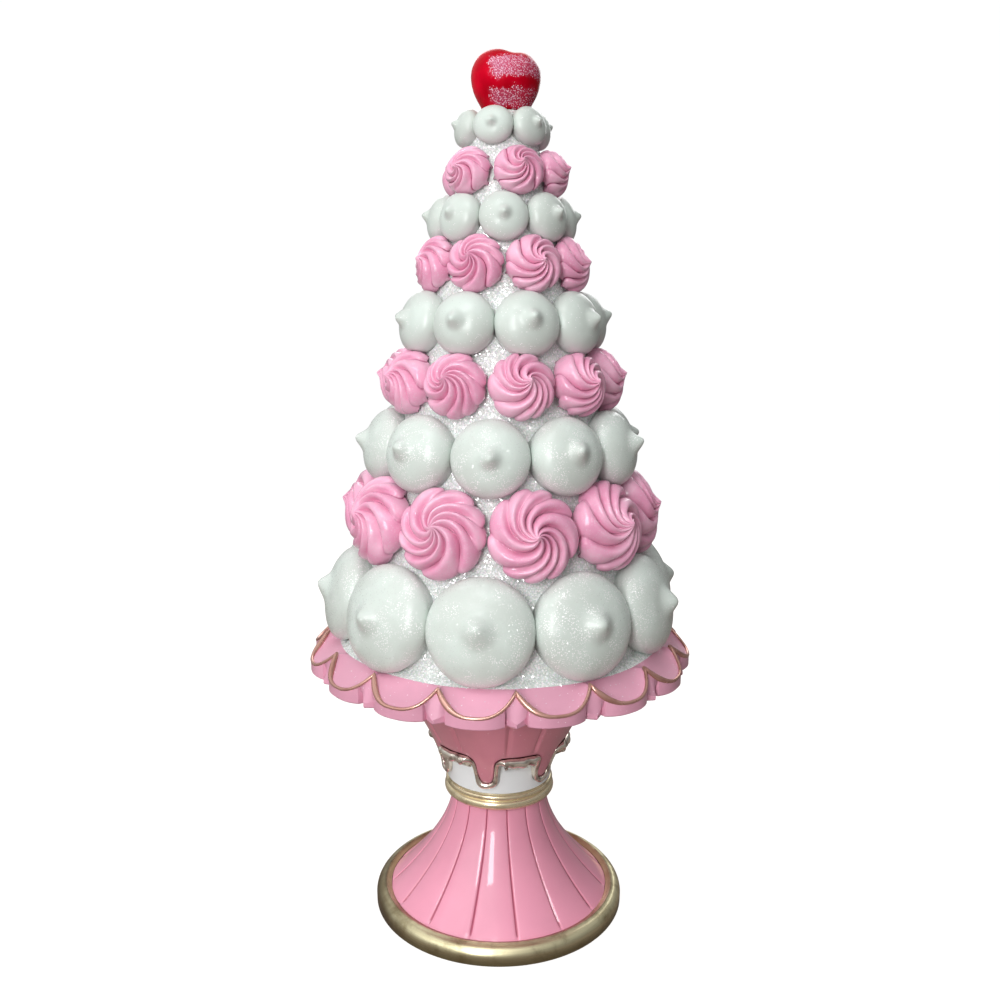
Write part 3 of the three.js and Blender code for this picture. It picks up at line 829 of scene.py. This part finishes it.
cone = {
    "footZ": 138.6, "footR": 76.2, "spreadZ": 138.9, "spreadR": 75.2, "straightZ": 141, "wallZ": 141.5,
    "topZ": 374.0, "plateR": 72.8, "plateZ": 137.0, "taper": 0.2547, "edge": 1.6, "lumps": 0.35,
    "inset": 0.15, "columns": 240, "rows": 120,
}
coneSlope = math.atan(cone["taper"])


def coneRadius(z):
    # a straight taper that spreads where it meets the plate
    c = cone
    straight = c["plateR"] - c["taper"] * (np.maximum(z, c["straightZ"]) - c["plateZ"])
    lowest = c["plateR"] - c["taper"] * (c["straightZ"] - c["plateZ"])
    foot = np.clip((c["straightZ"] - z) / (c["straightZ"] - c["spreadZ"]), 0, 1)
    return straight + (c["spreadR"] - lowest) * foot


def makeCone():
    c = cone
    angle = roundSteps(c["columns"])
    heights = np.concatenate([
        np.linspace(c["footZ"], c["wallZ"], 5), np.linspace(144, c["topZ"] - c["edge"], c["rows"])])
    rows = [ringPoints(0, c["footZ"], angle)]
    for z in heights:
        low = np.clip((c["wallZ"] - z) / (c["wallZ"] - c["footZ"]), 0, 1)
        hem = (c["footR"] - c["spreadR"]) * low ** 2
        lump = c["lumps"] * (np.sin(7 * angle + 0.09 * z) * np.sin(0.21 * z + 1.3)
                             + 0.6 * np.sin(17 * angle - 0.17 * z)) / 2
        rows.append(ringPoints(coneRadius(z) + hem + lump - c["inset"], z, angle))
    rows.append(ringPoints(coneRadius(c["topZ"]) - c["edge"], c["topZ"], angle))
    rows.append(ringPoints(0, c["topZ"], angle))
    return wrapGrid("cake_cone_visual", np.array(rows), snowIcing)


def evenly(count, first):
    return [first + 360 * i / count for i in range(count)]


def pipedRing(name, z, radius, reach, azimuths, fit, **more):
    # z is the middle of a piece on the wall, reach is how far it stands out from it,
    # and fit makes it a little smaller than its solid
    return {"name": name, "z": z, "radius": radius, "reach": reach, "azimuths": azimuths, "fit": fit,
            **more}


rings = [  # from the plate up
    pipedRing("dollop_a", 160, 23.2, 19.6, evenly(10, -78.5), 0.975),
    pipedRing("rosette_a", 198.1, 20.2, 18.2, evenly(10, -59.3), 0.98, ridges=9),
    pipedRing("dollop_b", 229.1, 17.3, 18.5, evenly(10, -76.6), 0.975),
    pipedRing("rosette_b", 258.1, 14.8, 15.8, evenly(10, -61.2), 0.97, ridges=9),
    pipedRing("dollop_ring_c", 283.8, 14.2, 16.1, evenly(9, -64), 0.965),
    pipedRing("rosette_ring_c", 308.7, 12.8, 12.7, evenly(8, -65.3), 0.96, ridges=8),
    pipedRing("dollop_ring_d", 328.5, 10.9, 11.5, evenly(8, -43.3), 0.965),
    pipedRing("rosette_ring_d", 347.6, 11.8, 12, [-42, 19, 79, 136, 190, 236], 0.92, ridges=8, squash=0.93,
              rimFade=0.85),
    pipedRing("dollop_ring_e", 366.7, 9.3, 9.2, evenly(6, -74.1), 0.935, squash=0.93),
]

dollopShape = {
    "Wall Share": 0.2, "Dome Share": 0.57, "Nose Width": 0.22, "Nose Power": 2.0, "Dish": 0.012,
    "Ridges": 1, "Twist": 0.0, "Curl": 1.0, "Rim Fade": 0.0, "Groove": 0.0, "Fullness": 0.6, "Skew": 1.0,
    "Wander": 0.0, "Lumps": 0.025, "Around": 72, "Along": 34,
}
rosetteShape = {
    "Wall Share": 0.22, "Dome Share": 0.63, "Nose Width": 0.16, "Nose Power": 1.4, "Dish": 0.0,
    "Ridges": 9, "Twist": 150.0, "Curl": 0.72, "Rim Fade": 0.62, "Groove": 0.38, "Fullness": 0.4,
    "Skew": 0.64, "Wander": 0.25, "Lumps": 0.05, "Around": 126, "Along": 40,
}
dishAt, dishWidth = 0.32, 0.13  # shares of the radius
crowding = 1.45  # brings the rows closer together near the tip


def toppingTree():
    # one piped piece: a dome with a nose, cut by spiral grooves where it is a rosette
    tree, given = newTree("pipedTopping", {
        "Radius": 20.0, "Reach": 18.0, **rosetteShape, "Seed": 0.0, "Material": None})
    grid = gridOf(tree, given["Around"], given["Along"])
    around, up, _ = split(grid.out("UV Map"))
    # the first row is the middle of the back, the rest climb from the wall to the tip
    step = 1.0 / (given["Along"] - 1)
    onFace = up > step * 0.5
    climb = (up - step) / (1.0 - step)
    left = (1.0 - calc("MAXIMUM", climb, 0.0)) ** crowding
    lowest = calc("ARCSINE", given["Wall Share"] / given["Dome Share"])
    lift = math.pi / 2 - (lowest + math.pi / 2) * left
    share = calc("COSINE", lift) * onFace
    dome = given["Dome Share"] * calc("SINE", lift) + given["Wall Share"]
    noseShare = 1.0 - given["Wall Share"] - given["Dome Share"]
    fromTip = (share / given["Nose Width"]) ** given["Nose Power"]
    nose = noseShare * calc("EXPONENT", fromTip * -1.0)
    fromDish = ((share - dishAt) / dishWidth) ** 2.0
    dish = given["Dish"] * calc("EXPONENT", fromDish * -1.0)
    heightShare = (dome + nose - dish) * onFace
    radius = share * given["Radius"]
    twist = calc("RADIANS", given["Twist"]) * share ** given["Curl"]
    angle = around * fullTurn - twist
    x, y = radius * calc("COSINE", angle), radius * calc("SINE", angle)
    place = vector(x, y, heightShare * given["Reach"])
    shaped = addNode(tree, "GeometryNodeSetPosition", {"Geometry": grid, "Position": place})
    # grooves follow the columns, so they stay narrow and deep
    wander = calc("SINE", around * (2 * fullTurn) + given["Seed"])
    across = around * given["Ridges"] + wander * given["Wander"]
    ridge = calc("FRACT", across) ** given["Skew"]
    crest = calc("ABSOLUTE", calc("SINE", ridge * math.pi)) ** given["Fullness"]
    kept = 1.0 - spread(share, 0.75, 1.0) * given["Rim Fade"]
    cut = (1.0 - crest) * (given["Groove"] * kept * spread(share, 0.0, 0.4))
    marked = store(store(store(shaped, "crest", crest), "cut", cut), "height", heightShare)
    merged = addNode(tree, "GeometryNodeMergeByDistance", {"Geometry": marked, "Distance": 1e-4})
    # the merged skin is carved and made lumpy square to itself; lumps fade out towards the wall
    bumps = addNode(tree, "ShaderNodeTexNoise", {
        "Vector": addNode(tree, "GeometryNodeInputPosition"), "W": given["Seed"], "Scale": 0.09,
        "Detail": 1.5}, noise_dimensions="4D")
    lumps = (bumps - 0.5) * (given["Lumps"] * spread(stored(tree, "height"), 0.0, 0.3))
    inward = (lumps - stored(tree, "cut")) * given["Radius"]
    offset = calcVector("MULTIPLY", addNode(tree, "GeometryNodeInputNormal"), inward)
    carved = addNode(tree, "GeometryNodeSetPosition", {"Geometry": merged, "Offset": offset})
    soft = addNode(tree, "GeometryNodeSetShadeSmooth", {"Geometry": carved})
    endTree(tree, soft, given["Material"])
    return tree


# shares by which pieces differ in size and lean, and how far their tips bend
unevenBy = {"size": 0.03, "lean": 0.06, "rosetteBend": 2.2, "dollopBend": 1.3}
unevenState = [1402]


def uneven():
    # repeatable random numbers between -1 and 1, the same draws as the solids have
    unevenState[0] = unevenState[0] * 16807 % 2147483647
    return 2 * unevenState[0] / 2147483647 - 1


def isJoined(ring):
    # the upper rings are one piece each
    return "_ring_" in ring["name"]


def ringPlaces(ring):
    joined = isJoined(ring)
    sizeBy, leanBy = unevenBy["size"], unevenBy["lean"]
    radius = float(coneRadius(ring["z"]))
    upward = np.array([0, 0, 1.0])
    places = []
    for azimuth in ring["azimuths"]:
        a = math.radians(azimuth)
        outward = np.array([math.sin(a), -math.cos(a), 0])
        size = uneven()
        places.append({
            "ring": ring,
            "radius": ring["radius"] * (1 + sizeBy * (abs(size) if joined else size)),
            "reach": ring["reach"] * (1 + sizeBy * uneven()),
            "spin": math.pi / 2 if joined else math.pi * uneven(),
            "lean": (leanBy * uneven(), leanBy * uneven()),
            "centre": radius * outward + ring["z"] * upward,
            "right": np.array([math.cos(a), math.sin(a), 0]),
            "up": upward * math.cos(coneSlope) - outward * math.sin(coneSlope),
            "out": outward * math.cos(coneSlope) + upward * math.sin(coneSlope),
            "walls": [],
        })
    return places


pressing = {"gap": 0.05, "within": 1.25, "sink": 0.25, "plateGap": 0.1}


def setWallBetween(one, other):
    # neighbours press flat against each other, nearer to the smaller one
    between = other["centre"] - one["centre"]
    distance = float(np.linalg.norm(between))
    if distance > pressing["within"] * (one["radius"] + other["radius"]):
        return
    normal = between / distance
    share = (distance ** 2 + one["radius"] ** 2 - other["radius"] ** 2) / (2 * distance)
    one["walls"].append((normal, share - pressing["gap"]))
    other["walls"].append((-normal, distance - share - pressing["gap"]))


def keepInside(place, points):
    # what would pass a wall is drawn back to it, towards the piece's own axis
    offset = points - place["centre"]
    depth = offset @ place["out"]
    axial = depth[:, None] * place["out"]
    lateral = offset - axial
    share = np.ones(len(points))
    for normal, limit in place["walls"]:
        across = lateral @ normal
        room = limit - axial @ normal
        pressed = (across > 0) & (across * share > room)
        share = np.where(pressed, room / np.where(pressed, across, 1), share)
    return place["centre"] + axial + lateral * share[:, None]


def layOnWall(place, points, touching):
    # what reaches the wall lies just inside the icing
    sink = pressing["sink"]
    for _ in range(5):
        above = np.hypot(points[:, 0], points[:, 1]) - coneRadius(points[:, 2])
        short = touching | (above < -sink)
        points = points + np.where(short, -sink - above, 0)[:, None] * place["out"] * math.cos(coneSlope)
        points = keepInside(place, points)
    return points


def makeTopping(place, tree, material):
    ring = place["ring"]
    rosette = "ridges" in ring
    shape = rosetteShape if rosette else dollopShape
    values = {
        **shape, "Radius": place["radius"] * ring["fit"], "Reach": place["reach"],
        "Seed": place["spin"] * 10, "Material": material,
    }
    if rosette:
        values["Ridges"] = ring["ridges"]
        values["Around"] = 14 * ring["ridges"]
        values["Rim Fade"] = ring.get("rimFade", shape["Rim Fade"])
    mesh = grow("topping", tree, values)
    local = np.zeros(len(mesh.vertices) * 3)
    mesh.vertices.foreach_get("co", local)
    local = local.reshape(-1, 3)
    turn = place["spin"]
    x = local[:, 0] * math.cos(turn) - local[:, 1] * math.sin(turn)
    y = local[:, 0] * math.sin(turn) + local[:, 1] * math.cos(turn)
    bend = unevenBy["rosetteBend" if rosette else "dollopBend"]
    sway = place["radius"] * np.clip(local[:, 2] / place["reach"], 0, None) ** 3 * bend
    x = x + sway * place["lean"][0]
    y = (y + sway * place["lean"][1]) * ring.get("squash", 1)
    points = (place["centre"] + x[:, None] * place["right"] + y[:, None] * place["up"]
              + local[:, 2:] * place["out"])
    points = layOnWall(place, keepInside(place, points), local[:, 2] <= 0.01)
    mesh.vertices.foreach_set("co", (points * mm).ravel())
    mesh.update()
    return mesh


def joinMeshes(name, meshes):
    whole = bpy.data.meshes.new(name)
    shell = bmesh.new()
    for mesh in meshes:
        shell.from_mesh(mesh)
    turnOutwards(shell)
    shell.to_mesh(whole)
    shell.free()
    for material in meshes[0].materials:
        whole.materials.append(material)
    for mesh in meshes:
        bpy.data.meshes.remove(mesh)
    whole.shade_smooth()
    return whole


def makeToppings():
    # the random draws come in the solids' order, single pieces first
    placed = {ring["name"]: ringPlaces(ring) for ring in sorted(rings, key=isJoined)}
    everything = [place for places in placed.values() for place in places]
    for i, one in enumerate(everything):
        for other in everything[i + 1:]:
            setWallBetween(one, other)
    for place in placed["dollop_a"]:
        room = place["centre"][2] - petals["topZ"] - pressing["plateGap"]
        place["walls"].append((np.array([0, 0, -1.0]), room))
    tree = toppingTree()
    made = []
    for ring in rings:
        rosette = "ridges" in ring
        dollopIcing = smoothIcing if isJoined(ring) else whiteIcing
        material = pinkIcing if rosette else dollopIcing
        meshes = [makeTopping(place, tree, material) for place in placed[ring["name"]]]
        name = ring["name"].replace("_ring", "") + "_visual"
        piece = newObject(name, joinMeshes(name, meshes))
        nodes = [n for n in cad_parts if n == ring["name"] or n.startswith(ring["name"] + "_")]
        made.append((piece, nodes, "pink_icing" if rosette else "white_icing"))
        print("ring", ring["name"], len(meshes), "pieces")
    return made, everything


cherry = {
    "z": 374.3, "height": 24.9, "radius": 15.3, "offset": 1.4, "tilt": 0.045,
    "cleft": 1.2, "cleftX": 3.0, "cleftWidth": 4.0, "rows": 60, "columns": 96,
    # from the middle of its foot to the middle of its top: share of the radius, share of the height
    "outline": [(0, 0), (0.45, 0.0), (0.64, 0.01), (0.73, 0.11), (0.84, 0.22), (0.93, 0.34), (0.985, 0.48),
                (1, 0.6), (0.965, 0.72), (0.88, 0.82), (0.74, 0.92), (0.52, 1), (0.25, 0.985), (0, 0.97)],
}


def makeCherry():
    # a round red body, with a cleft between the two lobes of its top
    c = cherry
    outline = np.array(c["outline"])
    along = np.linspace(0, len(outline) - 1, c["rows"])
    profile = np.stack([np.interp(along, np.arange(len(outline)), column) for column in outline.T], axis=1)
    for _ in range(3):
        profile[1:-1] = (profile[:-2] + 2 * profile[1:-1] + profile[2:]) / 4
    points = ringPoints(profile[:, :1] * c["radius"], c["z"] + profile[:, 1:] * c["height"],
                        roundSteps(c["columns"])[None, :])
    x = points[..., 0]
    nearTop = smooth((profile[:, 1:] - 0.6) / 0.35)
    points[..., 2] -= nearTop * (c["cleft"] * bell(x, c["cleftX"], c["cleftWidth"]) + c["tilt"] * x)
    points[..., 0] += c["offset"]
    return wrapGrid("cherry_visual", points, cherryRed, sharpAngle=80)


# glitter: flat flakes scattered over a surface, each tilted its own way

flakeInputs = {"Density": 1.0, "Size": 0.5, "Size Spread": 0.3, "Tilt": 30.0, "Seed": 1}
coneGlitter = {"Density": 1.5, "Size": 0.8, "Tilt": 18, "Seed": 11, "lift": 0.06}
plateGlitter = {"Density": 0.03, "Size": 0.5, "Tilt": 12, "Seed": 23, "lift": 0.05}


def randomNumber(low, high, seed):
    # a random number's limits are the third and fourth inputs
    return addNode(seed.tree, "FunctionNodeRandomValue", {2: low, 3: high, "Seed": seed}, output=1,
                   data_type="FLOAT")


def flakeTree():
    # density is in flakes for each square millimetre
    tree, given = newTree("glitterFlakes", {**flakeInputs, "Material": None})
    points = addNode(tree, "GeometryNodeDistributePointsOnFaces", {
        "Mesh": given["Geometry"], "Density": given["Density"] / (mm * mm), "Seed": given["Seed"]},
        distribute_method="RANDOM")
    plate = addNode(tree, "GeometryNodeMeshCircle", {"Vertices": 5, "Radius": 0.5}, fill_type="NGON")
    tilt = calc("RADIANS", given["Tilt"])
    back = tilt * -1.0
    turn = addNode(tree, "FunctionNodeRandomValue", {
        0: vector(back, back, 0.0), 1: vector(tilt, tilt, fullTurn), "Seed": given["Seed"]},
        data_type="FLOAT_VECTOR")
    facing = addNode(tree, "FunctionNodeRotateRotation", {0: points.out("Rotation"), 1: turn},
                     rotation_space="LOCAL")
    size = randomNumber(1.0 - given["Size Spread"], 1.0 + given["Size Spread"], given["Seed"] + 7)
    scale = size * given["Size"] * mm
    laid = addNode(tree, "GeometryNodeInstanceOnPoints", {
        "Points": points, "Instance": plate, "Rotation": facing, "Scale": vector(scale, scale, scale)})
    toned = store(laid, "flakeTone", randomNumber(0.0, 1.0, given["Seed"] + 3), "INSTANCE")
    endTree(tree, toned, given["Material"])
    return tree


def keepFaces(source, name, wanted, lift):
    # a copy of some faces of a piece, raised a little, to scatter on
    shell = bmesh.new()
    shell.from_mesh(source.data)
    centres = np.array([face.calc_center_median() for face in shell.faces]) / mm
    normals = np.array([face.normal for face in shell.faces])
    keep = wanted(centres, normals)
    bmesh.ops.delete(shell, geom=[f for f, k in zip(shell.faces, keep) if not k], context="FACES")
    for vert in shell.verts:
        vert.co += vert.normal * lift * mm
    mesh = bpy.data.meshes.new(name)
    shell.to_mesh(mesh)
    shell.free()
    return mesh


def scatter(name, tree, source, wanted, material, glitter):
    bed = keepFaces(source, name + "Bed", wanted, glitter["lift"])
    mesh = grow(name, tree, {**flakeInputs, **glitter, "Material": material}, bed)
    print(name, len(mesh.polygons), "flakes")
    return newObject(name, mesh)


# build everything: each piece with the nodes that it replaces and its slot

pieces = [
    (makeFootRing(), ["foot_ring"], "antique_gold"),
    (makePleatedFoot(), ["pleated_foot"], "pink_gloss"),
    (makeCollarBead(), ["collar_bead"], "antique_gold"),
    (makeCollarBand(), ["collar_band"], "white_gloss"),
    (makeDripCup(), ["drip_cup"], "pink_cup"),
    (makeDripEdging(), ["drip_edging"], "pale_gold"),
    (makePetalPlate(), ["petal_plate"], "pink_plate"),
    (makePetalEdging(), ["petal_edging"], "rose_gold"),
    (makeCone(), ["cake_cone"], "glitter_icing"),
]
toppings, places = makeToppings()
pieces += [*toppings, (makeCherry(), ["cherry"], "cherry_red")]
skins = {piece.name: piece for piece, _, _ in pieces}
print("stand and cake made")


def betweenToppings(centres, normals):
    c = cone
    showing = (centres[:, 2] > c["footZ"] + 0.15) & (centres[:, 2] < c["topZ"] - 0.5)
    for place in places:
        away = np.linalg.norm(centres - place["centre"], axis=1)
        showing &= away > 0.86 * place["radius"]
    return showing


def upperFace(centres, normals):
    return (normals[:, 2] > 0.5) & (np.hypot(centres[:, 0], centres[:, 1]) > petals["flatR"] - 1)


glitterTree = flakeTree()
pieces += [
    (scatter("cone_glitter", glitterTree, skins["cake_cone_visual"], betweenToppings, silverFlakes,
             coneGlitter), [], "glitter_icing"),
    (scatter("plate_glitter", glitterTree, skins["petal_plate_visual"], upperFace, plateFlakes,
             plateGlitter), [], "pink_plate"),
]
print("glitter made")

for piece, nodes, slot in pieces:
    if nodes:
        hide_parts(*nodes)
    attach(piece, "root")


# studio, in metres and degrees

view = {"distance": 0.47212, "height": 0.29690, "down": 11.342, "roll": 0.2842, "turn": 0.0293,
        "focal": 1.02707, "sensor": 36.0, "nearest": 0.01}


def makeCamera():
    lens = bpy.data.cameras.new("camera")
    lens.sensor_width = view["sensor"]
    lens.lens = view["focal"] * view["sensor"]
    lens.clip_start = view["nearest"]
    camera = newObject("camera", lens)
    camera.rotation_mode = "QUATERNION"
    turn = Matrix.Rotation(math.radians(view["turn"]), 3, "Z")
    pitch = Matrix.Rotation(math.radians(90 - view["down"]), 3, "X")
    roll = Matrix.Rotation(math.radians(view["roll"]), 3, "Z")
    camera.rotation_quaternion = (turn @ pitch @ roll).to_quaternion()
    camera.location = (0, -view["distance"], view["height"])
    bpy.context.scene.camera = camera


studio = {
    "floor": (128, 118, 112), "floorGlow": (0.92, 1.0), "glowEnds": (0.1, 0.5), "floorHalf": 0.75,
    "darkSide": 0.3, "lightSide": 0.7, "backdrop": 1.02, "horizon": 0.52, "zenith": 1.2, "aim": (0, 0, 0.2),
}
lamps = {
    "window": {"at": (-0.29, -0.96, 0.52), "size": (0.22, 0.62), "power": 5.8},
    "side": {"at": (-1.0, -0.7, 0.85), "size": (0.9, 1.0), "power": 2.3},
    "top": {"at": (-0.2, -0.6, 1.3), "size": (0.5, 0.35), "power": 3.0},
    "back": {"at": (0.15, 1.35, 0.95), "size": (1.2, 1.0), "power": 9.0},
}


def makeLamp(name, at, size, power):
    light = bpy.data.lights.new(name, "AREA")
    light.shape = "RECTANGLE"
    light.size, light.size_y = size
    light.energy = power
    lamp = newObject(name, light)
    lamp.location = at
    toward = Vector(studio["aim"]) - Vector(at)
    lamp.rotation_mode = "QUATERNION"
    lamp.rotation_quaternion = toward.to_track_quat("-Z", "Y")


def seenDirectly(tree):
    return addNode(tree, "ShaderNodeLightPath", output="Is Camera Ray")


def makeFloor():
    # a pale table; its glow keeps it white in the picture and adds no light to the cake
    half = studio["floorHalf"]
    mesh = bpy.data.meshes.new("floor")
    corners = [(-half, -half, 0), (half, -half, 0), (half, half, 0), (-half, half, 0)]
    mesh.from_pydata(corners, [], [(0, 1, 2, 3)])
    floor = newObject("floor", mesh)
    material, shader, place = newMaterial("floorPaint", **{
        "Roughness": 0.9, "Base Color": colour(*studio["floor"]), "Emission Color": (1, 1, 1, 1)})
    away = calcVector("LENGTH", place).out("Value")
    glow = spread(away, *studio["glowEnds"], *studio["floorGlow"])
    feed(shader.inputs["Emission Strength"], glow * seenDirectly(place.tree))
    mesh.materials.append(material)


def makeBackdrop():
    # white behind the cake, and a softer room that lights it, darker on the right
    world = bpy.data.worlds.new("world")
    bpy.context.scene.world = world
    world.use_nodes = True
    tree = world.node_tree
    sky = tree.nodes["Background"]
    sky.inputs["Color"].default_value = (1, 1, 1, 1)
    x, _, z = split(addNode(tree, "ShaderNodeTexCoord", output="Generated"))
    sideways = spread(x, -0.8, 0.9, studio["lightSide"], studio["darkSide"])
    upward = spread(z, 0.0, 0.7, studio["horizon"], studio["zenith"])
    feed(sky.inputs["Strength"], addNode(tree, "ShaderNodeMapRange", {
        "Value": seenDirectly(tree), "To Min": sideways * upward, "To Max": studio["backdrop"]}))


makeFloor()
makeBackdrop()
for name, lamp in lamps.items():
    makeLamp(name, **lamp)
makeCamera()
bpy.context.scene.view_settings.view_transform = "Standard"
print("studio made")
